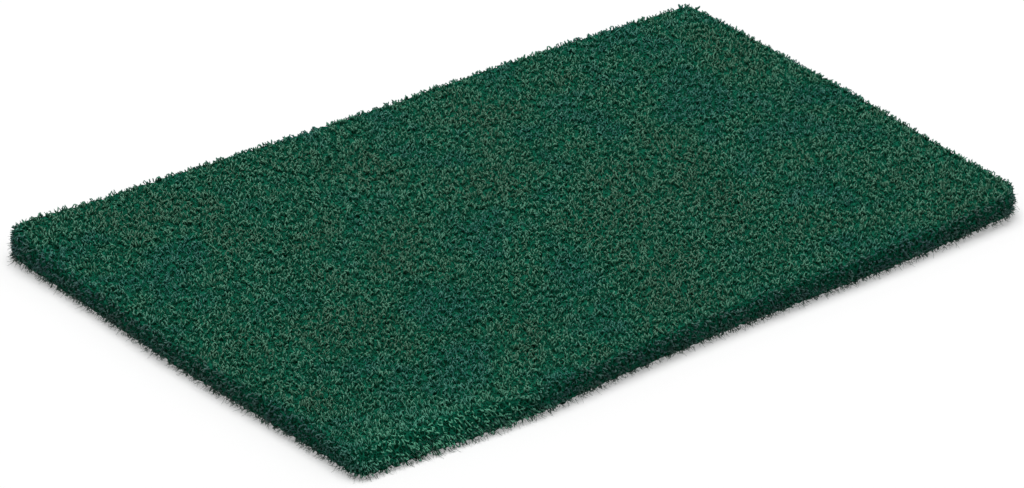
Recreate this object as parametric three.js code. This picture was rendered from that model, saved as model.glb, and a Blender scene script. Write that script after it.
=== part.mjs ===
// A nylon hand scouring pad: one die-cut slab of springy, resin-bonded nylon fibre web.
// Millimetres, +Z up. The pad lies flat on z = 0, its length runs along X and its width along Y,
// and the origin is at the middle of its underside.
//
// The whole pad is one piece of web, so it is one mesh. Its surface has three parts:
//   the flank, which goes round the cut outline in columns, one for each tuft of cut fibre ends;
//   the upper face and the underside, each a lumpy grid of web;
//   a border strip on each face, which joins the fine columns of the flank to the coarser grid.

import * as THREE from "three";
import { mergeVertices } from "three/addons/utils/BufferGeometryUtils.js";

// Cut size. The web was pulled a little out of square when it was cut.
const LENGTH_AT_BACK = 233.0; // long side at +Y
const LENGTH_AT_FRONT = 227.0; // long side at -Y
const WIDTH_AT_LEFT = 155.0; // short side at -X
const WIDTH_AT_RIGHT = 147.0; // short side at +X
const THICKNESS = 8.0;

// Outline.
const CORNER_ROUNDING = 9.0; // how far along each side a corner starts to turn
const CUT_WAVE_HEIGHT = 0.6; // how far the cut edge wanders in and out
const CUT_WAVES_ROUND_PAD = 6;
const CUT_WAVE_START = 0.04; // share of the way round where the first wave starts

// Flank.
const EDGE_ROUNDING = 2.6; // the soft roll between a face and the flank
const LEAST_UPRIGHT = 0.8; // a thin pad's rolls still leave this much upright flank between them
const TUFT_PITCH = 2.0; // along the flank
const TUFT_DEPTH = 0.5; // how far a tuft stands out or lies back
const TUFT_SHARE_AT_FACE = 0.5; // share of that depth in the rows that meet the faces

// Faces.
const LUMP_PITCH = 4.5; // spacing of the lumps of web on each face
const LUMP_WANDER = 0.6; // how far a lump may lie from its place in an even grid, along X or Y
const LUMP_DEPTH = 1.3; // the deepest hollow between lumps
const CROWN_SHARE_ABOVE = 0.3; // share of the upper face that stands at full height
const CROWN_SHARE_BELOW = 0.6; // share of the underside that touches what the pad lies on

// The grid of lumps starts this far in, clear of the turned corners, the roll, waves and tufts.
const FIRST_LUMP = CORNER_ROUNDING / 4 + EDGE_ROUNDING + CUT_WAVE_HEIGHT + TUFT_DEPTH + LUMP_WANDER;

const WEB_GREEN = 0x1f4739;
const SAME_POINT = 1e-4; // points closer than this are one point

// Each use of the scattered numbers has a seed of its own.
const TUFT_SEED = 1;
const ABOVE_SEED = 2;
const BELOW_SEED = 3;
const HOLLOW = 0;
const ASIDE_X = 10;
const ASIDE_Y = 20;
const SEED_SPAN = 4096; // more than the rows or columns of any grid

// A fixed pseudo-random number from 0 to 1 for a column, a row and a seed.
function scatter(i, j, seed) {
  return THREE.MathUtils.seededRandom((seed * SEED_SPAN + j) * SEED_SPAN + i);
}

// The same, from -1 to 1.
function sway(i, j, seed) {
  return 2 * scatter(i, j, seed) - 1;
}

// The four corners before rounding, anticlockwise seen from above, from the front left one.
function cutCorners() {
  return [
    new THREE.Vector2(-LENGTH_AT_FRONT / 2, -WIDTH_AT_LEFT / 2),
    new THREE.Vector2(LENGTH_AT_FRONT / 2, -WIDTH_AT_RIGHT / 2),
    new THREE.Vector2(LENGTH_AT_BACK / 2, WIDTH_AT_RIGHT / 2),
    new THREE.Vector2(-LENGTH_AT_BACK / 2, WIDTH_AT_LEFT / 2),
  ];
}

// The cut line as a closed path with its corners turned, and no waves yet.
function cutPath() {
  const corners = cutCorners();
  const path = new THREE.Path();
  corners.forEach((corner, k) => {
    const before = corners[(k + corners.length - 1) % corners.length];
    const after = corners[(k + 1) % corners.length];
    const start = corner.clone().add(before.clone().sub(corner).setLength(CORNER_ROUNDING));
    const end = corner.clone().add(after.clone().sub(corner).setLength(CORNER_ROUNDING));
    if (k === 0) path.moveTo(start.x, start.y);
    else path.lineTo(start.x, start.y);
    path.quadraticCurveTo(corner.x, corner.y, end.x, end.y);
  });
  path.closePath();
  return path;
}

// One point of the cut line for each tuft, with the way out of the pad there.
function cutLine() {
  const path = cutPath();
  const count = Math.round(path.getLength() / TUFT_PITCH);
  const points = path.getSpacedPoints(count).slice(0, count);
  return points.map((point, k) => {
    const along = points[(k + 1) % count].clone().sub(points[(k + count - 1) % count]).normalize();
    const out = new THREE.Vector2(along.y, -along.x);
    const turn = (k / count - CUT_WAVE_START) * CUT_WAVES_ROUND_PAD * 2 * Math.PI;
    return { point: point.clone().addScaledVector(out, CUT_WAVE_HEIGHT * Math.sin(turn)), out };
  });
}

// The flank's section, from the upper face down to the underside: how far in from the cut line
// each row lies, and how high. It is a soft roll, a short upright stretch and a second soft roll.
function flankSection() {
  const roll = Math.min(EDGE_ROUNDING, (THICKNESS - LEAST_UPRIGHT) / 2);
  const upper = [Math.PI / 2, Math.PI / 4, 0].map((angle) => ({
    inset: roll * (1 - Math.cos(angle)),
    height: THICKNESS - roll * (1 - Math.sin(angle)),
  }));
  const lower = upper.map(({ inset, height }) => ({ inset, height: THICKNESS - height })).reverse();
  return [...upper, ...lower];
}

// The flank as rows of points, from the upper face's edge down to the underside's.
function flankRows(line) {
  const section = flankSection();
  return section.map(({ inset, height }, row) => {
    const meetsFace = row === 0 || row === section.length - 1;
    const depth = meetsFace ? TUFT_SHARE_AT_FACE * TUFT_DEPTH : TUFT_DEPTH;
    return line.map(({ point, out }, column) => {
      const place = point.clone().addScaledVector(out, depth * sway(column, row, TUFT_SEED) - inset);
      return new THREE.Vector3(place.x, place.y, height);
    });
  });
}

// How deep a face's hollow is at a point of its grid, from 0 on the crown of a lump.
function hollow(i, j, seed, crownShare) {
  const open = scatter(i, j, seed + HOLLOW);
  return (LUMP_DEPTH * Math.max(0, open - crownShare)) / (1 - crownShare);
}

// A face's grid of lumps as rows of points, spread evenly between the four sides and then swayed.
function lumpGrid(isAbove) {
  const seed = isAbove ? ABOVE_SEED : BELOW_SEED;
  const crownShare = isAbove ? CROWN_SHARE_ABOVE : CROWN_SHARE_BELOW;
  const [frontLeft, frontRight, backRight, backLeft] = cutCorners();
  const length = Math.min(frontLeft.distanceTo(frontRight), backLeft.distanceTo(backRight));
  const width = Math.min(frontLeft.distanceTo(backLeft), frontRight.distanceTo(backRight));
  const across = Math.round((length - 2 * FIRST_LUMP) / LUMP_PITCH);
  const deep = Math.round((width - 2 * FIRST_LUMP) / LUMP_PITCH);
  const rows = [];
  for (let j = 0; j <= deep; j++) {
    const v = THREE.MathUtils.mapLinear(j, 0, deep, FIRST_LUMP / width, 1 - FIRST_LUMP / width);
    const row = [];
    for (let i = 0; i <= across; i++) {
      const u = THREE.MathUtils.mapLinear(i, 0, across, FIRST_LUMP / length, 1 - FIRST_LUMP / length);
      const front = frontLeft.clone().lerp(frontRight, u);
      const back = backLeft.clone().lerp(backRight, u);
      const place = front.lerp(back, v);
      place.x += LUMP_WANDER * sway(i, j, seed + ASIDE_X);
      place.y += LUMP_WANDER * sway(i, j, seed + ASIDE_Y);
      const depth = hollow(i, j, seed, crownShare);
      row.push(new THREE.Vector3(place.x, place.y, isAbove ? THICKNESS - depth : depth));
    }
    rows.push(row);
  }
  return rows;
}

// The grid's outer loop of points, anticlockwise seen from above.
function rimOf(grid) {
  const last = grid.length - 1;
  return [
    ...grid[0].slice(0, -1),
    ...grid.slice(0, last).map((row) => row[row.length - 1]),
    ...grid[last].slice(1).reverse(),
    ...grid.slice(1).reverse().map((row) => row[0]),
  ];
}

// Collects triangles, each given by three points, and makes one closed geometry of them.
class Skin {
  constructor() {
    this.places = [];
  }

  triangle(a, b, c, facesDown = false) {
    for (const p of facesDown ? [a, c, b] : [a, b, c]) this.places.push(p.x, p.y, p.z);
  }

  quad(a, b, c, d, facesDown = false) {
    this.triangle(a, b, c, facesDown);
    this.triangle(a, c, d, facesDown);
  }

  geometry() {
    const made = new THREE.BufferGeometry();
    made.setAttribute("position", new THREE.Float32BufferAttribute(this.places, 3));
    const merged = mergeVertices(made, SAME_POINT);
    merged.computeVertexNormals();
    return merged;
  }
}

function addFlank(skin, rows) {
  for (let r = 0; r + 1 < rows.length; r++) {
    const [upper, lower] = [rows[r], rows[r + 1]];
    upper.forEach((point, k) => {
      const next = (k + 1) % upper.length;
      skin.quad(point, lower[k], lower[next], upper[next]);
    });
  }
}

// Each square is split in two, on alternate diagonals, so that the lumps have no grain.
function addGrid(skin, grid, facesDown) {
  for (let j = 0; j + 1 < grid.length; j++) {
    for (let i = 0; i + 1 < grid[j].length; i++) {
      const square = [grid[j][i], grid[j][i + 1], grid[j + 1][i + 1], grid[j + 1][i]];
      if ((i + j) % 2) square.push(square.shift());
      skin.quad(...square, facesDown);
    }
  }
}

// The strip between the flank's row on a face and the grid's rim, which have unlike counts. It
// goes once round both loops, and steps along the one whose next point is the nearer to reach.
function addBorder(skin, outer, rim, facesDown) {
  let o = 0;
  let r = 0;
  while (o < outer.length || r < rim.length) {
    const [here, inside] = [outer[o % outer.length], rim[r % rim.length]];
    const [nextHere, nextInside] = [outer[(o + 1) % outer.length], rim[(r + 1) % rim.length]];
    const outerIsNearer = nextHere.distanceTo(inside) < nextInside.distanceTo(here);
    if (r === rim.length || (o < outer.length && outerIsNearer)) {
      skin.triangle(here, nextHere, inside, facesDown);
      o++;
    } else {
      skin.triangle(here, nextInside, inside, facesDown);
      r++;
    }
  }
}

// The tufts and waves shift the outline's box a little, so the pad is moved to have it centred.
function webGeometry() {
  const rows = flankRows(cutLine());
  const above = lumpGrid(true);
  const below = lumpGrid(false);
  const skin = new Skin();
  addFlank(skin, rows);
  addBorder(skin, rows[0], rimOf(above), false);
  addGrid(skin, above, false);
  addBorder(skin, rows[rows.length - 1], rimOf(below), true);
  addGrid(skin, below, true);
  const geometry = skin.geometry();
  geometry.computeBoundingBox();
  const middle = geometry.boundingBox.getCenter(new THREE.Vector3());
  return geometry.translate(-middle.x, -middle.y, 0);
}

const web = new THREE.MeshStandardMaterial({ color: WEB_GREEN, roughness: 0.85, metalness: 0.0 });
const pad = new THREE.Mesh(webGeometry(), web);
pad.name = "scouring_pad";

const group = new THREE.Group();
group.add(pad);

export default group;
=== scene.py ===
# %% [markdown]
# # A nylon scouring pad
# The pad is one slab of curled nylon fibres, glued to each other with a resin that carries the
# abrasive, and cut out with a die. From a step away it is a dark green mat with soft edges, and
# close up it is nothing but fibres. The photograph can't show how thin they are. Here they are a
# third to half a millimetre thick, about as fine as it can show, and real ones may be thinner.
#
# One way to make it is a box with a bumpy material, but a box keeps a clean outline, and bump casts
# no shadow. This lesson builds the fibres instead: a dark inner web with pores, thousands of curled
# tubes over it, and loose hairs round the lower part of the cut edge. All are worked out with numpy
# as whole arrays.
#
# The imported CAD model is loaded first, and everything that follows is fitted to it.

# %% Load the frame
import math

import bpy
import numpy as np
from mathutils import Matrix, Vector


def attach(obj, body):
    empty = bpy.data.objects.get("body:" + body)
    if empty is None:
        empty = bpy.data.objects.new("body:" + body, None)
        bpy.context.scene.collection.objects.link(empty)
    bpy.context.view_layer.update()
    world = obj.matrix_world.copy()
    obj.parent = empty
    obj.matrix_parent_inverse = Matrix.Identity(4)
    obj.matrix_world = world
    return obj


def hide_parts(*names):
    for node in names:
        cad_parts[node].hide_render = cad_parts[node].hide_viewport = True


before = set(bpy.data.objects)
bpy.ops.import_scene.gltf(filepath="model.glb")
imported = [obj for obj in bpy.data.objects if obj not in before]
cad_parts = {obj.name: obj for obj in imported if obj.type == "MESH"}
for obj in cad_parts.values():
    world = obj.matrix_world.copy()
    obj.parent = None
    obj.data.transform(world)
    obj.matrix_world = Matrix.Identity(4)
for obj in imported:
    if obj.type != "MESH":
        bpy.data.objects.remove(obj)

MM = 0.001
TURN = 2 * math.pi
TINY = 1e-9  # the least length that is divided by
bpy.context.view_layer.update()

# %% [markdown]
# ## The camera
# The photograph looks down at the pad from its front left corner, from far away with a long lens,
# so its sides stay almost parallel. A camera could be dragged into place, but a script can't repeat
# that. So it is placed by two angles and a distance round a point near the pad's middle. A camera
# in Blender looks along its own -Z axis, so `to_track_quat` turns its Z axis away from that point.

# %% Camera
AZIMUTH = math.radians(-38.19)
ELEVATION = math.radians(28.04)
DISTANCE = 1.609
PHOTO_WIDTH = 1024
PIXELS_PER_MM = 3.757
PIXELS_LEFT = 12.98  # how far left of the pad's middle the camera is aimed
PIXELS_DOWN = 6.13  # how far below it the camera is aimed

back = Vector((
    math.sin(AZIMUTH) * math.cos(ELEVATION),
    -math.cos(AZIMUTH) * math.cos(ELEVATION),
    math.sin(ELEVATION),
))
right = Vector((math.cos(AZIMUTH), math.sin(AZIMUTH), 0))
up = back.cross(right)
aim_left = PIXELS_LEFT / PIXELS_PER_MM * MM
aim_down = PIXELS_DOWN / PIXELS_PER_MM * MM
aim = -right * aim_left - up * aim_down
camera_data = bpy.data.cameras.new("camera")
camera_data.lens = PIXELS_PER_MM / MM * DISTANCE / PHOTO_WIDTH * camera_data.sensor_width
camera = bpy.data.objects.new("camera", camera_data)
camera.location = aim + back * DISTANCE
camera.rotation_mode = "QUATERNION"
camera.rotation_quaternion = back.to_track_quat("Z", "Y")
bpy.context.scene.collection.objects.link(camera)
bpy.context.scene.camera = camera
print("lens in mm:", round(camera_data.lens, 1))

# %% [markdown]
# ## The cut outline
# The pad isn't a true rectangle, perhaps because the web was pulled a little when it was cut, and
# its edge wanders. Its sizes could be written here, but a change of the CAD model would undo them.
# So this step measures them on the CAD solid. A straight line fitted to the middle of each side
# gives the four corners, where neighbouring lines meet.

# %% Points of the CAD solid
solid_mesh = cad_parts["scouring_pad"].data
solid = np.empty(len(solid_mesh.vertices) * 3)
solid_mesh.vertices.foreach_get("co", solid)
solid = solid.reshape(-1, 3) / MM
THICKNESS = np.ptp(solid[:, 2])
mid_height = THICKNESS / 2
cut_points = solid[np.abs(solid[:, 2] - mid_height) < mid_height / 2]
reach_x, reach_y = np.abs(cut_points[:, :2]).max(axis=0)
print("thickness in mm:", round(THICKNESS, 2), "points on the cut edge:", len(cut_points))

# %% Lines along the four sides
MIDDLE_SHARE = 0.85  # the share of a side that is clear of its turned corners


def side_line(along, across, reach_along, reach_across, sign):
    """Least squares line of one side, across = slope * along + offset, through its middle part."""
    near = (np.abs(along) < MIDDLE_SHARE * reach_along) & (sign * across > MIDDLE_SHARE * reach_across)
    return np.polyfit(along[near], across[near], 1)


def crossing(level, upright):
    """Where the line y = a x + b of one side meets the line x = c y + d of its neighbour.

    Putting the first line into the second gives x = (c * b + d) / (1 - a * c).
    """
    (a, b), (c, d) = level, upright
    x = (c * b + d) / (1 - a * c)
    return x, a * x + b


cut_x, cut_y = cut_points[:, 0], cut_points[:, 1]
front_line, rear_line = (side_line(cut_x, cut_y, reach_x, reach_y, sign) for sign in (-1, 1))
left_line, right_line = (side_line(cut_y, cut_x, reach_y, reach_x, sign) for sign in (-1, 1))
corners = np.array([
    crossing(front_line, left_line),
    crossing(front_line, right_line),
    crossing(rear_line, right_line),
    crossing(rear_line, left_line),
])
HALF_LENGTH, HALF_WIDTH = np.abs(corners).mean(axis=0)
print("corners in mm:", np.round(corners, 1).tolist())

# %% [markdown]
# ## A plain pad first
# It is easier to lay fibres on a plain rounded rectangle than on this outline. So every piece is
# made on a plain pad, and one function, `cut`, then pulls its points to the true shape. A Lattice
# modifier could pull them too, but it can't follow the short waves of the edge. These cells give
# what `cut` asks of a point: how far it lies from the plain outline, and how far round it.

# %% Distance to the plain outline
SOLID_ROUNDING = 7.7  # the corner radius of the CAD solid
CORNER_RADIUS = 5.0
BLUNT_RADIUS = 8.6


def corner_radius(x, y):
    """The radius of the nearest corner: the front right and rear left ones are the blunter two."""
    return np.where(x * y < 0, BLUNT_RADIUS, CORNER_RADIUS)


def outline_distance(x, y, radius=None):
    """Signed distance of plan points to the plain rounded outline, and the way out there.

    With a and b how far a point lies past the inner rectangle along x and y, the distance is
    hypot(a, b) - radius in a corner and max(a, b) - radius elsewhere. It is positive outside.
    """
    radius = corner_radius(x, y) if radius is None else radius
    a = np.abs(x) - (HALF_LENGTH - radius)
    b = np.abs(y) - (HALF_WIDTH - radius)
    corner = (a > 0) & (b > 0)
    length = np.where(corner, np.hypot(a, b), np.maximum(a, b))
    divisor = np.where(corner, length, 1)
    out_x = np.where(corner, a / divisor, a >= b) * np.sign(x)
    out_y = np.where(corner, b / divisor, a < b) * np.sign(y)
    return length - radius, out_x, out_y


print("the pad's middle lies inside its outline by mm:", -outline_distance(0.0, 0.0)[0].round(1))

# %% Way round the plain outline
PERIMETER = 4 * (HALF_LENGTH + HALF_WIDTH)


def way_round(x, y):
    """How far round the plain rectangle a point lies, in mm, anticlockwise from the front left."""
    x = np.clip(x, -HALF_LENGTH, HALF_LENGTH)
    y = np.clip(y, -HALF_WIDTH, HALF_WIDTH)
    on_end = np.abs(x) - HALF_LENGTH > np.abs(y) - HALF_WIDTH
    long_sides = np.where(y < 0, x + HALF_LENGTH, 3 * HALF_LENGTH + 2 * HALF_WIDTH - x)
    ends = np.where(x > 0, 2 * HALF_LENGTH + HALF_WIDTH + y, 4 * HALF_LENGTH + 3 * HALF_WIDTH - y)
    return np.where(on_end, ends, long_sides)


print("way round the pad in mm:", round(PERIMETER, 1))

# %% [markdown]
# ## From the plain pad to the cut one
# Three things turn the plain outline into the pad's own. Its corners are moved, and the rest is
# blended between them. Its edge goes in and out with the waves that were cut into the solid, which
# are measured here. And the soft edge has forms of its own: near the front left corner the front
# edge slants, the rear left corner is puffed up, and the front right corner is off the ground. They
# could be sculpted by hand, but as functions of the place they work on every piece alike.

# %% Blend between the corners
def skew(x, y, targets):
    """The plain rectangle blended onto four corner points, each by its nearness.

    With u and v from -1 to 1 along x and y, a corner's share is (1 +- u) * (1 +- v) / 4.
    """
    u, v = x / HALF_LENGTH, y / HALF_WIDTH
    shares = [(1 - u) * (1 - v), (1 + u) * (1 - v), (1 + u) * (1 + v), (1 - u) * (1 + v)]
    new_x = sum(share * target[0] for share, target in zip(shares, targets)) / 4
    new_y = sum(share * target[1] for share, target in zip(shares, targets)) / 4
    return new_x, new_y


skewed_x, skewed_y = skew(cut_x, cut_y, corners)
plain_x = cut_x - (skewed_x - cut_x)
plain_y = cut_y - (skewed_y - cut_y)
moved = np.hypot(skewed_x - cut_x, skewed_y - cut_y)
print("blending to the corners moves the edge by up to mm:", moved.max().round(1))

# %% Waves of the cut edge
WAVE_BINS = 96
WAVE_REACH = 14.0  # how far into the pad the waves of its edge are felt

stand_out = outline_distance(plain_x, plain_y, SOLID_ROUNDING)[0]
bin_of = (way_round(plain_x, plain_y) / PERIMETER * WAVE_BINS).astype(int) % WAVE_BINS
counts = np.bincount(bin_of, minlength=WAVE_BINS)
edge_wave = np.bincount(bin_of, stand_out, WAVE_BINS) / np.maximum(counts, 1)
# The waves are smoothed: each bin takes half of itself and a quarter of each neighbour.
edge_wave = (np.roll(edge_wave, 1) + 2 * edge_wave + np.roll(edge_wave, -1)) / 4
bin_places = (np.arange(WAVE_BINS) + 0.5) * PERIMETER / WAVE_BINS
print("edge wave in mm, lowest and highest:", edge_wave.min().round(2), edge_wave.max().round(2))

# %% Slant of the front edge
FOOT_OUT = 1.6
FOOT_MIDDLE = -68.0
RIM_IN = 4.5
RIM_MIDDLE = -96.0
SLANT_HALF_LENGTH = 48.0
SLANT_REACH = 30.0


def front_bump(x, y, middle):
    """A share from 1 at one place of the front edge to 0 away from it.

    It is (1 - t * t) squared along the edge and (1 - d) squared into the pad.
    """
    t = np.clip((x - middle) / SLANT_HALF_LENGTH, -1, 1)
    d = np.clip((y + HALF_WIDTH) / SLANT_REACH, 0, 1)
    return (1 - t * t) ** 2 * (1 - d) ** 2


def slant(x, y, z):
    """How far the front edge's rim lies back and its foot stands out, near the front left corner.

    The foot's share is 1 - z over the thickness, and the rim's share is z over the thickness.
    """
    rise = np.clip(z / THICKNESS, 0, 1)
    foot = FOOT_OUT * front_bump(x, y, FOOT_MIDDLE) * (1 - rise)
    return RIM_IN * front_bump(x, y, RIM_MIDDLE) * rise - foot


print("the rim lies back by up to mm:", round(slant(RIM_MIDDLE, -HALF_WIDTH, THICKNESS), 2))
print("the foot stands out by up to mm:", round(-slant(FOOT_MIDDLE, -HALF_WIDTH, 0.0), 2))

# %% Pull points to the cut shape
REAR_LEFT_PUFF = 0.2  # the share by which the pad is thicker at its rear left corner
FRONT_RIGHT_LIFT = 0.7  # mm by which the front right corner is off the ground
CORNER_REACH = 36.0
CORNER_SHIFTS = ((0.3, -0.3), (0.4, 0.0), (1.3, -0.5), (0.2, 0.8))  # mm, in the order of `corners`
stretched = corners + CORNER_SHIFTS


def near_corner(x, y, side_x, side_y):
    """A share from 1 at one corner to 0 at CORNER_REACH from it: (1 - t * t) squared."""
    away = np.hypot(x - side_x * HALF_LENGTH, y - side_y * HALF_WIDTH)
    t = np.minimum(away / CORNER_REACH, 1)
    return (1 - t * t) ** 2


def cut(points):
    """Plain pad points (..., 3) to the true pad: moved out by the wave and the slant, then skewed.

    The wave's share falls from 1 at the edge to 0 at WAVE_REACH inside, as 1 - s * s * (3 - 2 * s).
    The height grows by the puff's share near its corner, and the lift is added near the other.
    """
    x, y, z = points[..., 0], points[..., 1], points[..., 2]
    distance, out_x, out_y = outline_distance(x, y)
    s = np.clip(-distance / WAVE_REACH, 0, 1)
    push = np.interp(way_round(x, y), bin_places, edge_wave, period=PERIMETER)
    push = push * (1 - s * s * (3 - 2 * s))
    new_x, new_y = skew(x + push * out_x, y + push * out_y + slant(x, y, z), stretched)
    new_z = z * (1 + REAR_LEFT_PUFF * near_corner(x, y, -1, 1))
    return np.stack([new_x, new_y, new_z + FRONT_RIGHT_LIFT * near_corner(x, y, 1, -1)], axis=-1)


plain_corner = np.array([HALF_LENGTH, HALF_WIDTH, THICKNESS])
print("the plain rear right corner goes to mm:", cut(plain_corner).round(1).tolist())

# %% [markdown]
# ## Folding a flat sheet over the edge
# Fibres run over the pad's edge without a break. They could be laid on each face by itself, but a
# fibre would then stop at every edge. So a fibre is drawn on a flat sheet that is larger than the
# pad, and the sheet is folded over: past the edge of the face it follows a quarter circle, the
# upright flank and a second quarter circle. The underside uses the same sheet upside down, which is
# why the two halves meet exactly.

# %% Fold
EDGE_ROLL = 1.8
QUARTER = EDGE_ROLL * TURN / 4
UPRIGHT = THICKNESS - 2 * EDGE_ROLL
TO_MID_FLANK = QUARTER + UPRIGHT / 2 - EDGE_ROLL  # from the outline, on the flat sheet


def fold(x, y, height, below=False):
    """Sheet points to the plain pad's surface, standing `height` mm proud, and the normals there.

    With s the distance past the face's edge, s / EDGE_ROLL is the angle turned so far, up to a
    quarter turn; what is left of s goes down the flank, and what is left after that round the
    second quarter turn.
    """
    distance, out_x, out_y = outline_distance(x, y)
    past = np.maximum(distance + EDGE_ROLL, 0)
    first = np.minimum(past / EDGE_ROLL, TURN / 4)
    drop = np.clip(past - QUARTER, 0, UPRIGHT)
    second = np.clip((past - QUARTER - UPRIGHT) / EDGE_ROLL, 0, TURN / 4)
    inset = EDGE_ROLL * (2 - np.sin(first) - np.cos(second))
    level = THICKNESS - EDGE_ROLL * (1 - np.cos(first)) - drop - EDGE_ROLL * np.sin(second)
    out = np.sin(first) * np.cos(second)
    rise = np.cos(first) - np.sin(second)
    move = np.where(past > 0, -distance - inset, 0) + out * height
    z = level + rise * height
    normals = np.stack([out * out_x, out * out_y, rise], axis=-1)
    points = np.stack([x + move * out_x, y + move * out_y, z], axis=-1)
    if below:
        points[..., 2] = THICKNESS - points[..., 2]
        normals[..., 2] = -normals[..., 2]
    return points, normals


seam_point, _ = fold(0.0, -HALF_WIDTH - TO_MID_FLANK, 0.0)
print("the two sheets meet at a height in mm of:", seam_point[2].round(2))

# %% [markdown]
# ## Putting arrays into a mesh
# A mesh could be filled point by point, but that is slow for a hundred thousand of them.
# `foreach_set` copies a whole numpy array into a mesh at once. A mesh needs its corners in one long
# list and the place where each face starts in that list. `validate` reports what is wrong with it,
# which should be nothing.

# %% Mesh from arrays
def make_piece(name, points, quads, triangles=None, **values):
    """An object at the origin with these points in mm, faces by index and named values per point."""
    triangles = np.zeros((0, 3), int) if triangles is None else triangles
    corner_list = np.concatenate([quads.ravel(), triangles.ravel()]).astype(np.int32)
    starts = np.concatenate([
        np.arange(len(quads)) * 4,
        len(quads) * 4 + np.arange(len(triangles)) * 3,
    ]).astype(np.int32)
    mesh = bpy.data.meshes.new(name)
    mesh.vertices.add(len(points))
    mesh.vertices.foreach_set("co", (points * MM).astype(np.float32).ravel())
    mesh.loops.add(len(corner_list))
    mesh.loops.foreach_set("vertex_index", corner_list)
    mesh.polygons.add(len(starts))
    mesh.polygons.foreach_set("loop_start", starts)
    mesh.polygons.foreach_set("use_smooth", np.ones(len(starts), bool))
    mesh.update(calc_edges=True)
    for value_name, value in values.items():
        attribute = mesh.attributes.new(value_name, "FLOAT", "POINT")
        attribute.data.foreach_set("value", value.astype(np.float32))
    mended = mesh.validate()
    piece = bpy.data.objects.new(name, mesh)
    bpy.context.scene.collection.objects.link(piece)
    size = 2 * len(quads) + len(triangles)
    print(name, "has", size, "triangles", "and was mended" if mended else "and is sound")
    return piece


# %% [markdown]
# ## The inner web
# Between the outer fibres one looks down into pores, and sees darker fibres that lie deeper. They
# can't all be built, so an inner skin stands for them: a closed grid with hollows a few millimetres
# apart, to which its material adds finer ones. Blender's Displace modifier could make the hollows,
# but the seam between the two halves is easier to keep closed with arrays.
#
# A grid on a rounded rectangle needs care at the corners. Here each corner's square of the grid is
# turned into a quarter disc: a point keeps its larger offset as its distance from the middle.

# %% Sheet grid with round corners
WEB_PITCH = 1.05


def sheet_grid(extra):
    """A grid over the plain outline grown by `extra`, its corner squares bent to quarter discs.

    In a corner square of side r, an offset (a, b) is scaled by max(a, b) / hypot(a, b).
    """
    half_x, half_y = HALF_LENGTH + extra, HALF_WIDTH + extra
    x, y = np.meshgrid(
        np.linspace(-half_x, half_x, round(2 * half_x / WEB_PITCH)),
        np.linspace(-half_y, half_y, round(2 * half_y / WEB_PITCH)),
    )
    r = corner_radius(x, y) + extra
    a = np.maximum(np.abs(x) - (half_x - r), 0)
    b = np.maximum(np.abs(y) - (half_y - r), 0)
    scale = np.maximum(a, b) / np.maximum(np.hypot(a, b), TINY)
    in_corner = (a > 0) & (b > 0)
    round_x = np.sign(x) * (half_x - r + a * scale)
    round_y = np.sign(y) * (half_y - r + b * scale)
    return np.where(in_corner, round_x, x), np.where(in_corner, round_y, y)


grid_x, grid_y = sheet_grid(TO_MID_FLANK)
print("the web's sheet has", grid_x.shape[1], "by", grid_x.shape[0], "points")

# %% Hollows of the web
RIPPLE_WAVES = 48
WEB_HOLLOWS = (2.0, 3.2)  # mm from one hollow to the next
WEB_DEPTH = 0.95  # mean depth of the inner web under the pad's surface
WEB_RELIEF = 0.34
WEB_DEEPEST = 2.1
WEB_SHALLOWEST = 0.35
FLANK_FILL = 0.45  # the cut flank is fuller: its web lies this share less deep


def ripple(x, y, shortest, longest, seed):
    """A rough field of about unit height at plan points: cosine waves of random heading, added up.

    Each wave is cos(kx * x + ky * y + phase), with a length between shortest and longest in mm.
    """
    rng = np.random.default_rng(seed)
    heading, phase = rng.uniform(0, TURN, (2, RIPPLE_WAVES))
    number = TURN / np.exp(rng.uniform(math.log(shortest), math.log(longest), RIPPLE_WAVES))
    total = np.zeros_like(x)
    for kx, ky, start in zip(number * np.cos(heading), number * np.sin(heading), phase):
        total += np.cos(kx * x + ky * y + start)
    return total / math.sqrt(RIPPLE_WAVES / 2)


def web_height(x, y, seed):
    """Height of the inner web on the sheet: -depth + relief * ripple, cut off at both ends."""
    height = -WEB_DEPTH + WEB_RELIEF * ripple(x, y, *WEB_HOLLOWS, seed)
    turned = np.clip((outline_distance(x, y)[0] + EDGE_ROLL) / QUARTER, 0, 1)
    return np.clip(height, -WEB_DEEPEST, -WEB_SHALLOWEST) * (1 - FLANK_FILL * turned)


upper_web, lower_web = (web_height(grid_x, grid_y, seed) for seed in (11, 12))
print("the upper web lies deep in mm:", -upper_web.max().round(2), "to", -upper_web.min().round(2))

# %% Inner web as a closed skin
def grid_quads(index, flipped):
    """The faces of a grid of point numbers; flipped turns them to face the other way."""
    a, b, c, d = index[:-1, :-1], index[:-1, 1:], index[1:, 1:], index[1:, :-1]
    order = (a, d, c, b) if flipped else (a, b, c, d)
    return np.stack(order, axis=-1).reshape(-1, 4)


def build_web(x, y, upper_height, lower_height):
    """Both halves of the web; the lower half uses the upper half's points along their seam."""
    seam = np.ones(x.shape, bool)
    seam[1:-1, 1:-1] = False
    upper, _ = fold(x, y, upper_height)
    lower, _ = fold(x, y, lower_height, below=True)
    upper_index = np.arange(x.size).reshape(x.shape)
    lower_index = upper_index.copy()
    lower_index[~seam] = x.size + np.arange((~seam).sum())
    points = np.concatenate([upper.reshape(-1, 3), lower[~seam]])
    quads = np.concatenate([grid_quads(upper_index, False), grid_quads(lower_index, True)])
    return make_piece("inner_web", cut(points), quads)


inner_web = build_web(grid_x, grid_y, upper_web, lower_web)

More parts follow.
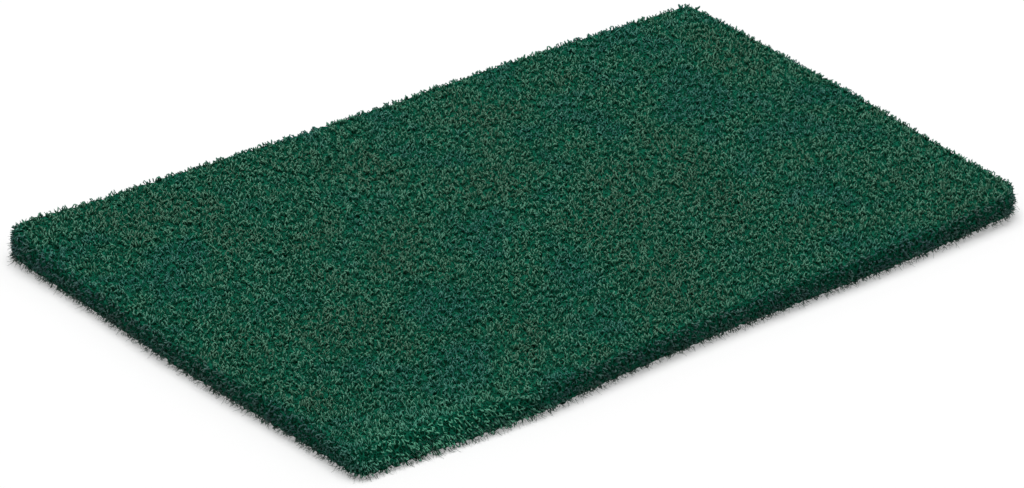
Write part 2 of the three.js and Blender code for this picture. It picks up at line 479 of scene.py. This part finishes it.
# %% [markdown]
# ## Curled fibres
# A fibre's path is drawn by its heading: it starts in any direction, bends one way all along, and
# sways from side to side. Adding up short steps along the heading gives the path. Its height rises
# and falls, so that it dives under its neighbours and shows only here and there, as the curls of the
# real web do.
#
# Blender's curves with a bevel could make the tubes, but a mesh from arrays is far quicker for
# thousands of them, and three sides are enough for a tube that is less than two pixels wide.

# %% Paths of fibres on the sheet
FIBRE_POINTS = 9
FIBRE_STEP = 0.44
BEND = 0.16  # radians a millimetre, the usual turn of a fibre
SWAY = 1.3  # radians
SWAY_LENGTH = (1.7, 3.2)
RISE_LENGTH = (1.3, 2.3)
FIBRE_LEVEL = (-0.8, -0.2)
FIBRE_LIFT = (0.5, 0.85)
KNOT_PLAY = 0.9  # mm that a fibre's middle may lie off its knot, either way


def fibre_paths(pitch, extra, rng):
    """x, y and height (fibres, FIBRE_POINTS) of curled fibres, one round each knot of a loose grid.

    heading = start + bend * s + SWAY * sin(TURN * s / sway length + phase), and the path is the sum
    of steps along it, moved so that its middle is at the knot.
    height = level + lift * sin(TURN * s / rise length + phase).
    """
    knots_x, knots_y = np.meshgrid(
        np.arange(-HALF_LENGTH - extra, HALF_LENGTH + extra, pitch),
        np.arange(-HALF_WIDTH - extra, HALF_WIDTH + extra, pitch),
    )
    knots = np.stack([knots_x.ravel(), knots_y.ravel()], axis=-1)
    s = np.arange(FIBRE_POINTS) * FIBRE_STEP

    def draw(low, high):
        """One random number for each fibre."""
        return rng.uniform(low, high, (len(knots), 1))

    heading = draw(0, TURN) + rng.normal(0, BEND, (len(knots), 1)) * s
    heading += SWAY * np.sin(TURN * s / draw(*SWAY_LENGTH) + draw(0, TURN))
    x = np.cumsum(np.cos(heading), axis=1) * FIBRE_STEP
    y = np.cumsum(np.sin(heading), axis=1) * FIBRE_STEP
    x += knots[:, :1] + draw(-KNOT_PLAY, KNOT_PLAY) - x.mean(axis=1, keepdims=True)
    y += knots[:, 1:] + draw(-KNOT_PLAY, KNOT_PLAY) - y.mean(axis=1, keepdims=True)
    wave = TURN * s
    height = draw(*FIBRE_LEVEL) + draw(*FIBRE_LIFT) * np.sin(wave / draw(*RISE_LENGTH) + draw(0, TURN))
    kept = outline_distance(x, y)[0].max(axis=1) < extra
    return x[kept], y[kept], height[kept]


print("a fibre is long in mm:", round((FIBRE_POINTS - 1) * FIBRE_STEP, 1))

# %% Tubes along paths
SIDES = 3


def unit(vectors):
    """Vectors scaled to length 1."""
    return vectors / np.maximum(np.linalg.norm(vectors, axis=-1, keepdims=True), TINY)


def tube_mesh(name, paths, normals, radius, **values):
    """Closed tubes along paths (strands, points, 3), with radius and values (strands, points).

    Ring corner k lies at path + radius * (cos(a) * side + sin(a) * top), where a is a quarter turn
    plus k thirds of a turn, side = along x normal and top = side x along. No point goes below the
    ground.
    """
    strands, count, _ = paths.shape
    along = unit(np.gradient(paths, axis=1))
    side = unit(np.cross(along, normals))
    top = np.cross(side, along)
    angle = TURN / 4 + np.arange(SIDES) * TURN / SIDES
    ring = np.cos(angle)[:, None] * side[:, :, None] + np.sin(angle)[:, None] * top[:, :, None]
    points = paths[:, :, None] + radius[:, :, None, None] * ring
    index = np.arange(strands * count * SIDES).reshape(strands, count, SIDES)
    after = np.roll(index, -1, axis=2)
    quads = np.stack([index[:, :-1], index[:, 1:], after[:, 1:], after[:, :-1]], axis=-1)
    caps = np.concatenate([index[:, 0], index[:, -1, ::-1]])
    points = cut(points.reshape(-1, 3))
    points[:, 2] = np.maximum(points[:, 2], 0)
    spread = {value_name: np.repeat(value, SIDES) for value_name, value in values.items()}
    return make_piece(name, points, quads.reshape(-1, 4), caps, **spread)


# %% [markdown]
# ## Laying them in two layers
# The upper face and most of the flank show, so their fibres lie close together. The underside is seen
# far less, and its fibres are laid wider apart. Each fibre carries three numbers for its material at
# every point: its tone, which is partly random and partly painted shade by how high the fibre rides;
# how much it faces sideways, for the painted shade of the flank and the painted light at its foot; and
# how much it lies in the painted light of one stretch of the front edge. They could be painted by place
# in the material, but only the fibre itself knows how high it rides.

# %% Lay the fibres
FIBRE_RADIUS = (0.165, 0.25)
TIP_SHARE = 0.45  # radius of a fibre's tip as a share of its middle
TONE_SPREAD = 0.3  # the share of a fibre's tone that is random; the rest is painted shade by its height, darker deep down and lighter high up
LIT_MIDDLE = -88.0  # mm along the front edge, where the painted light on its fibres is the brightest
LIT_ON_TOP = 0.4
UPPER_PITCH = 1.95
UPPER_REACH = TO_MID_FLANK + 2.8  # mm past the outline, on the sheet
LOWER_PITCH = 2.85
LOWER_REACH = TO_MID_FLANK + 0.6
from_tip = np.minimum(np.arange(FIBRE_POINTS), np.arange(FIBRE_POINTS)[::-1])
taper = np.minimum(1, TIP_SHARE + from_tip)


def lay_fibres(name, pitch, reach, pieces, seed, below=False):
    """The fibres of one face, to `reach` past its outline on the sheet, shared over some pieces.

    tone = spread * random + (1 - spread) * (height - lowest level) / highest lift, the height part
    being painted shade. With sideways the flat part of the normal, the painted light lit = front bump *
    (LIT_ON_TOP + (1 - LIT_ON_TOP) * sideways), and the flank's painted shade is sideways * (1 - lit).
    On the underside's face no fibre stands proud, because the pad lies on it.
    """
    rng = np.random.default_rng(seed)
    x, y, height = fibre_paths(pitch, reach, rng)
    radius = rng.uniform(*FIBRE_RADIUS, (len(x), 1)) * taper
    if below:
        on_face = outline_distance(x, y)[0] < -EDGE_ROLL
        height = np.where(on_face, np.minimum(height, -radius), height)
    paths, normals = fold(x, y, height, below)
    tone = TONE_SPREAD * rng.random((len(x), 1))
    # painted shade: a fibre is made darker where it lies deep and lighter where it rides high
    tone = tone + (1 - TONE_SPREAD) * (height - FIBRE_LEVEL[0]) / FIBRE_LIFT[1]
    sideways = np.hypot(normals[..., 0], normals[..., 1])
    # painted light: a brighter green on one stretch of the front edge, on its rim more than on the top
    lit = front_bump(x, y, LIT_MIDDLE) * (LIT_ON_TOP + (1 - LIT_ON_TOP) * sideways)
    # painted shade: fibres that face sideways on the flank are mixed toward dark slate, and near the
    # ground toward painted bounce light
    cut_edge = sideways * (1 - lit)
    print(len(x), "fibres make", name)
    return [
        tube_mesh(
            f"{name}_{k + 1}", paths[share], normals[share], radius[share],
            tone=tone[share], cut_edge=cut_edge[share], lit=lit[share],
        )
        for k, share in enumerate(np.array_split(np.arange(len(x)), pieces))
    ]


upper_fibres = lay_fibres("upper_fibres", UPPER_PITCH, UPPER_REACH, pieces=3, seed=21)
lower_fibres = lay_fibres("lower_fibres", LOWER_PITCH, LOWER_REACH, pieces=2, seed=31, below=True)

# %% [markdown]
# ## Loose hairs
# Where the die cut the web, cut ends stand out of the flank, and they show best against the pale
# ground along the lower edge. Blender's hair could grow them, but the exported model needs meshes,
# so they are thin tubes as the fibres are. A hair starts on the lower part of the flank, leaves
# along the surface normal and curls off to one side. Hairs are longer towards the ground.

# %% Hairs round the cut edge
HAIR_COUNT = 5800
HAIR_POINTS = 4
HAIR_LENGTH = (0.35, 0.75)
HAIR_GROWTH = 0.9  # the share by which a hair at the foot is longer
HAIR_RADIUS = 0.065
HAIR_TAPER = 0.6
HAIR_CURL = 0.55
HAIR_ROOT_DEPTH = 0.3
FLANK_ABOVE = 0.4  # the share of the upright flank that lies above the hairs
FOOT_ROLL = 0.9  # the share of the lower edge roll that has hairs
HAIRS_FROM = QUARTER + FLANK_ABOVE * UPRIGHT  # mm past the face's edge, on the sheet
HAIRS_TO = (1 + FOOT_ROLL) * QUARTER + UPRIGHT


def plain_edge(place):
    """The point of the plain rectangle that lies this far round it: way_round turned about."""
    walk = [0, 2 * HALF_LENGTH, 2 * HALF_LENGTH + 2 * HALF_WIDTH, PERIMETER - 2 * HALF_WIDTH, PERIMETER]
    x = np.interp(place, walk, np.array([-1, 1, 1, -1, -1]) * HALF_LENGTH)
    y = np.interp(place, walk, np.array([-1, -1, 1, 1, -1]) * HALF_WIDTH)
    return x, y


def lay_hairs(name, count, seed):
    """Short tapering tubes; with t from 0 to 1, path = root + length * (t * normal + curl * t * t)."""
    rng = np.random.default_rng(seed)
    x, y = plain_edge(rng.uniform(0, PERIMETER, count))
    past = rng.uniform(HAIRS_FROM, HAIRS_TO, count) - EDGE_ROLL
    distance, out_x, out_y = outline_distance(x, y)
    root, normal = fold(x + (past - distance) * out_x, y + (past - distance) * out_y, -HAIR_ROOT_DEPTH)
    t = np.linspace(0, 1, HAIR_POINTS)[:, None]
    low = (past + EDGE_ROLL) / (2 * QUARTER + UPRIGHT)
    length = (rng.uniform(*HAIR_LENGTH, count) * (1 + HAIR_GROWTH * low))[:, None, None]
    curl = rng.normal(0, HAIR_CURL, (count, 1, 3))
    paths = root[:, None] + length * (t * normal[:, None] + curl * t * t)
    paths[..., 2] = np.maximum(paths[..., 2], HAIR_RADIUS)
    across = np.cross(normal, rng.normal(0, 1, (count, 3)))[:, None] * np.ones((1, HAIR_POINTS, 1))
    radius = HAIR_RADIUS * (1 - HAIR_TAPER * t[:, 0]) * np.ones((count, 1))
    tone = rng.random((count, 1)) * np.ones((1, HAIR_POINTS))
    # every hair carries the full flank mark: painted slate shade, and near the ground painted bounce
    # light
    return tube_mesh(name, paths, across, radius, tone=tone, cut_edge=np.ones_like(tone))


loose_hairs = lay_hairs("loose_hairs", HAIR_COUNT, seed=41)

# %% [markdown]
# ## Shader maths as Python
# A material is a graph of nodes. Written node by node it is long and hard to read, so a small class
# wraps a socket and lets `+`, `-` and `*` add the Math nodes. A second class holds the graph, and
# one method of it adds any other node.

# %% Wires
class Wire:
    """An output socket of a material's graph, on which arithmetic adds Math nodes."""

    def __init__(self, graph, socket):
        self.graph = graph
        self.socket = socket

    def math(self, operation, *values):
        return self.graph.add("ShaderNodeMath", {"operation": operation}, dict(enumerate(values)))

    def __add__(self, other):
        return self.math("ADD", self, other)

    __radd__ = __add__

    def __sub__(self, other):
        return self.math("SUBTRACT", self, other)

    def __rsub__(self, other):
        return self.math("SUBTRACT", other, self)

    def __mul__(self, other):
        return self.math("MULTIPLY", self, other)

    __rmul__ = __mul__

    def or_more(self, other):
        """The larger of two values."""
        return self.math("MAXIMUM", self, other)


# %% Graphs
NOISE_MIDDLE = 0.5  # a Noise texture's mean value
MIX_SHARE, MIX_LOW, MIX_HIGH = 0, 6, 7  # the Mix node's inputs for colours
MIX_COLOUR = 2  # its output for colours


class Graph:
    """The node graph of a material or a world, empty but for its output."""

    def __init__(self, owner, output="ShaderNodeOutputMaterial"):
        owner.use_nodes = True
        self.owner = owner
        self.tree = owner.node_tree
        self.tree.nodes.clear()
        self.output = self.tree.nodes.new(output)

    def add(self, kind, settings=None, inputs=None, out=0):
        """Adds a node: first its settings, then the values or wires of its sockets."""
        node = self.tree.nodes.new(kind)
        for name, value in (settings or {}).items():
            setattr(node, name, value)
        for name, value in (inputs or {}).items():
            if isinstance(value, Wire):
                self.tree.links.new(value.socket, node.inputs[name])
            else:
                node.inputs[name].default_value = value
        return Wire(self, node.outputs[out])

    def place(self):
        """A point's place in metres, in the object's own coordinates."""
        return self.add("ShaderNodeTexCoord", out="Object")

    def carried(self, name):
        """A number that the mesh carries at each point."""
        return self.add("ShaderNodeAttribute", {"attribute_name": name}, out="Fac")

    def noise(self, place, scale, detail, out=0):
        """Soft random spots, `scale` of them to a metre."""
        inputs = {"Vector": place, "Scale": scale, "Detail": detail}
        return self.add("ShaderNodeTexNoise", None, inputs, out)

    def mix(self, share, low, high):
        """A colour between low and high."""
        settings = {"data_type": "RGBA", "clamp_factor": True}
        inputs = {MIX_SHARE: share, MIX_LOW: low, MIX_HIGH: high}
        return self.add("ShaderNodeMix", settings, inputs, MIX_COLOUR)

    def band(self, value, low, high):
        """0 where value is under low, 1 over high, and a smooth step between."""
        inputs = {"Value": value, "From Min": low, "From Max": high}
        return self.add("ShaderNodeMapRange", {"interpolation_type": "SMOOTHSTEP"}, inputs)

    def vector(self, operation, *values, out=0, **named):
        """Maths on vectors, with its vectors in order and any other socket by its name."""
        inputs = {**dict(enumerate(values)), **named}
        return self.add("ShaderNodeVectorMath", {"operation": operation}, inputs, out)

    def seen(self):
        """1 for rays from the camera, and for those that a mirror or glass sends on, else 0."""
        camera_ray, mirror_ray, glass_ray = (
            self.add("ShaderNodeLightPath", out=name)
            for name in ("Is Camera Ray", "Is Glossy Ray", "Is Transmission Ray")
        )
        return camera_ray.or_more(mirror_ray).or_more(glass_ray)

    def surface(self, colour, roughness, specular, relief, strength, depth):
        """A glossy or matt surface, with bump of this depth where relief goes from 0 to 1."""
        inputs = {"Height": relief, "Strength": strength, "Distance": depth}
        bump = self.add("ShaderNodeBump", None, inputs)
        return self.add("ShaderNodeBsdfPrincipled", None, {
            "Base Color": colour,
            "Roughness": roughness,
            "Specular IOR Level": specular,
            "Normal": bump,
        })

    def finish(self, wire):
        """Ends the graph on a shader and gives back what it belongs to."""
        self.tree.links.new(wire.socket, self.output.inputs["Surface"])
        print(self.owner.name, "has", len(self.tree.nodes), "nodes")
        return self.owner


# %% [markdown]
# ## The fibres' finish
# Each fibre is green nylon in a coat of green resin with fine grit in it. Its tone changes from fibre
# to fibre, in clumps under a millimetre across, and in soft patches a centimetre or two across, some
# browner and some bluer. On top of that, shade and light are painted in: fibres that lie deep are
# darker and those that ride high lighter, the fibres on the flank are mixed toward a dark slate as
# shade, those at its foot toward a pale olive as light bounced up from the ground, and one stretch of
# the front edge is a brighter green as painted light.
#
# A picture laid over the pad could show all this, but it would lie across the fibres and not along
# them. So the material starts from the numbers that each fibre carries, and adds noise by place. The
# grit is bump, far too fine to model.

# %% Fibre material
DEEP_GREEN = (0.011, 0.120, 0.067, 1)
BRIGHT_GREEN = (0.113, 0.308, 0.208, 1)
CLUMP_SIZE = 0.7 * MM
CLUMP_WEIGHT = 0.9
PATCH_SIZE = 17 * MM
PATCH_WEIGHT = 0.8
BRIGHT_BAND = (0.1, 1.15)
BROWN_GREEN = (0.074, 0.125, 0.080, 1)
BROWN_BAND = (0.48, 0.65)
BROWN_SHARE = 0.4
BLUE_GREEN = (0.026, 0.158, 0.155, 1)
BLUE_BAND = (0.5, 0.65)
BLUE_SHARE = 0.45
# painted shade of the flank
FLANK_SHADE_SLATE = (0.056, 0.086, 0.108, 1)
FLANK_SHADE_SHARE = 0.6
# painted light bounced up from the ground, at the flank's foot
GROUND_BOUNCE_OLIVE = (0.150, 0.195, 0.150, 1)
GROUND_BOUNCE_SHARE = 0.65
GROUND_BOUNCE_TOP = 3.6 * MM
# painted light on one stretch of the front edge
LIT_GREEN = (0.120, 0.460, 0.290, 1)
LIT_SHARE = 0.7
FIBRE_ROUGHNESS = 0.46
FIBRE_SPECULAR = 0.08
GRIT_SIZE = 0.16 * MM
GRIT_ROUGHNESS = 0.3  # how much rougher the grit makes the resin, from its lows to its tops
GRIT_STRENGTH = 0.5
GRIT_DEPTH = 0.05 * MM


def fibre_material():
    """Bonded nylon: a tone for each fibre, soft patches, painted shade on the flank, painted light at
    its foot and on one stretch of the front edge, and bump for the grit.

    The green is brighter by tone + PATCH_WEIGHT * (patch - middle) + CLUMP_WEIGHT * (clump - middle).
    """
    g = Graph(bpy.data.materials.new("bonded_fibre"))
    place = g.place()
    patch = g.noise(place, 1 / PATCH_SIZE, detail=2.0)
    grit = g.noise(place, 1 / GRIT_SIZE, detail=3.0)
    clump = g.noise(place, 1 / CLUMP_SIZE, detail=1.0)
    tone = g.carried("tone")
    tone = tone + PATCH_WEIGHT * (patch - NOISE_MIDDLE) + CLUMP_WEIGHT * (clump - NOISE_MIDDLE)
    # the tone's height part is painted shade: deep fibres are mixed toward DEEP_GREEN, high ones toward
    # BRIGHT_GREEN
    green = g.mix(g.band(tone, *BRIGHT_BAND), DEEP_GREEN, BRIGHT_GREEN)
    browned = g.mix(g.band(patch, *BROWN_BAND) * BROWN_SHARE, green, BROWN_GREEN)
    blued = g.mix(g.band(1 - patch, *BLUE_BAND) * BLUE_SHARE, browned, BLUE_GREEN)
    # painted shade: fibres on the flank are mixed toward dark slate
    edge = g.carried("cut_edge")
    flank_shaded = g.mix(edge * FLANK_SHADE_SHARE, blued, FLANK_SHADE_SLATE)
    # painted light: near the ground the flank's fibres are mixed toward a pale olive, as light bounced
    # up from the white ground
    height = g.add("ShaderNodeSeparateXYZ", None, {0: place}, out="Z")
    at_foot = 1 - g.band(height, 0.0, GROUND_BOUNCE_TOP)
    bounce_lit = g.mix(edge * at_foot * GROUND_BOUNCE_SHARE, flank_shaded, GROUND_BOUNCE_OLIVE)
    # painted light: a brighter green on one stretch of the front edge
    colour = g.mix(g.carried("lit") * LIT_SHARE, bounce_lit, LIT_GREEN)
    roughness = FIBRE_ROUGHNESS + GRIT_ROUGHNESS * (grit - NOISE_MIDDLE)
    return g.finish(g.surface(colour, roughness, FIBRE_SPECULAR, grit, GRIT_STRENGTH, GRIT_DEPTH))


bonded_fibre = fibre_material()
for piece in [*upper_fibres, *lower_fibres, loose_hairs]:
    piece.data.materials.append(bonded_fibre)

# %% [markdown]
# ## The inner web's finish
# The same fibres, deeper, and the pores between them painted near-black as shade. A noise alone would
# look like felt. A Voronoi texture's distance to the nearest cell edge draws a net of thin lines
# instead, and bending its coordinates with noise curls them. Two such nets of different size stand for
# the fibres below.

# %% Inner web material
# painted shade: the pores between the net's lines
PORE_SHADE = (0.0, 0.016, 0.007, 1)
INNER_GREEN = (0.006, 0.150, 0.085, 1)
NET_SIZE = 1.7 * MM
NET_CURL = 0.9 * MM
CURLS_PER_MESH = 1.2
NET_LINE = (0.03, 0.16)  # where a line ends and a mesh begins, as shares of the mesh
FINE_NET_SIZE = 0.6 * NET_SIZE
FINE_NET_WEIGHT = 0.7
NET_TONE = 0.6
WEB_ROUGHNESS = 0.7
WEB_SPECULAR = 0.03
NET_STRENGTH = 1.0
NET_DEPTH = 0.3 * MM


def net(g, place, size):
    """Lines of a curled net with meshes of this size: 1 on a line and 0 in a mesh."""
    curl = g.noise(place, CURLS_PER_MESH / size, detail=1.0, out="Color")
    either_way = g.vector("SUBTRACT", curl, (NOISE_MIDDLE, NOISE_MIDDLE, NOISE_MIDDLE))
    bent = g.vector("ADD", place, g.vector("SCALE", either_way, Scale=NET_CURL))
    inputs = {"Vector": bent, "Scale": 1 / size}
    to_line = g.add("ShaderNodeTexVoronoi", {"feature": "DISTANCE_TO_EDGE"}, inputs)
    return 1 - g.band(to_line, *NET_LINE)


def web_material():
    """Web painted near-black between its fibres as shade, with two nets of fibres drawn in colour and
    bump.
    """
    g = Graph(bpy.data.materials.new("inner_fibres"))
    place = g.place()
    fibres = net(g, place, NET_SIZE) + FINE_NET_WEIGHT * net(g, place, FINE_NET_SIZE)
    colour = g.mix(NET_TONE * fibres, PORE_SHADE, INNER_GREEN)
    return g.finish(g.surface(colour, WEB_ROUGHNESS, WEB_SPECULAR, fibres, NET_STRENGTH, NET_DEPTH))


inner_web.data.materials.append(web_material())

# %% [markdown]
# ## Ground and light
# The photograph has a pure white ground with a soft shadow close to the pad, and broad light from
# above and behind. More light would make the ground white, but would bleach the pad too. So the
# ground is whitened only for rays that are seen: those from the camera, and those that a mirror or
# glass sends on. It adds no light to the pad then. Close to the pad less white is added, so that the
# shadow stays.

# %% Ground
WHITE = (1, 1, 1, 1)
GROUND_SIZE = 6.0
GROUND_GREY = (0.55, 0.55, 0.55, 1)
GROUND_WHITE = (0.92, 0.92, 0.92, 1)
GROUND_DROP = 0.05 * MM
WHITE_SHARE = 0.34  # the share of plain white that is added close to the pad
SHADOW_REACH = (0.17, 0.35)  # metres from the pad's middle, over which that share grows to 1


def ground_material():
    """Pale ground; camera, mirror and glass rays see a share of plain white added to it."""
    g = Graph(bpy.data.materials.new("pale_ground"))
    rays = g.seen()
    matt = g.add("ShaderNodeBsdfDiffuse", None, {"Color": g.mix(rays, GROUND_GREY, GROUND_WHITE)})
    white = g.add("ShaderNodeEmission", None, {"Color": WHITE, "Strength": 1.0})
    far = g.vector("LENGTH", g.place(), out="Value")
    share = WHITE_SHARE + (1 - WHITE_SHARE) * g.band(far, *SHADOW_REACH)
    return g.finish(g.add("ShaderNodeMixShader", None, {0: rays * share, 1: matt, 2: white}))


half_ground = GROUND_SIZE / 2
ground_corners = [
    (side_x * half_ground, side_y * half_ground, -GROUND_DROP)
    for side_x, side_y in ((-1, -1), (1, -1), (1, 1), (-1, 1))
]
ground_mesh = bpy.data.meshes.new("ground")
ground_mesh.from_pydata(ground_corners, [], [(0, 1, 2, 3)])
ground = bpy.data.objects.new("ground", ground_mesh)
ground.data.materials.append(ground_material())
bpy.context.scene.collection.objects.link(ground)

# %% Lights
KEY_PLACE = (0.08, 0.30, 2.0)
KEY_SIZE = 1.5
KEY_POWER = 36
FILL_PLACE = (0.9, -0.9, 1.3)
FILL_SIZE = 1.0
FILL_POWER = 2


def soft_box(name, place, size, power):
    """A square area light that looks at the pad's middle."""
    data = bpy.data.lights.new(name, "AREA")
    data.shape = "SQUARE"
    data.size = size
    data.energy = power
    lamp = bpy.data.objects.new(name, data)
    lamp.location = place
    lamp.rotation_mode = "QUATERNION"
    lamp.rotation_quaternion = Vector(place).to_track_quat("Z", "Y")
    bpy.context.scene.collection.objects.link(lamp)
    print(name, "gives", power, "watts")


soft_box("key_light", KEY_PLACE, KEY_SIZE, KEY_POWER)
soft_box("fill_light", FILL_PLACE, FILL_SIZE, FILL_POWER)

# %% Sky
SKY_STRENGTH = 0.34


def studio():
    """An even soft sky that lights the pad, seen as plain white."""
    g = Graph(bpy.data.worlds.new("studio"), "ShaderNodeOutputWorld")
    sky = g.add("ShaderNodeBackground", None, {"Color": WHITE, "Strength": SKY_STRENGTH})
    backdrop = g.add("ShaderNodeBackground", None, {"Color": WHITE, "Strength": 1.0})
    return g.finish(g.add("ShaderNodeMixShader", None, {0: g.seen(), 1: sky, 2: backdrop}))


bpy.context.scene.world = studio()
bpy.context.scene.view_settings.view_transform = "Standard"

# %% [markdown]
# ## Handing the pieces to the frame
# Every piece rides on the pad's one body, and the CAD solid is then hidden.

# %% Ride, and hide the CAD solid
for piece in [inner_web, *upper_fibres, *lower_fibres, loose_hairs]:
    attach(piece, "root")
    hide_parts("scouring_pad")
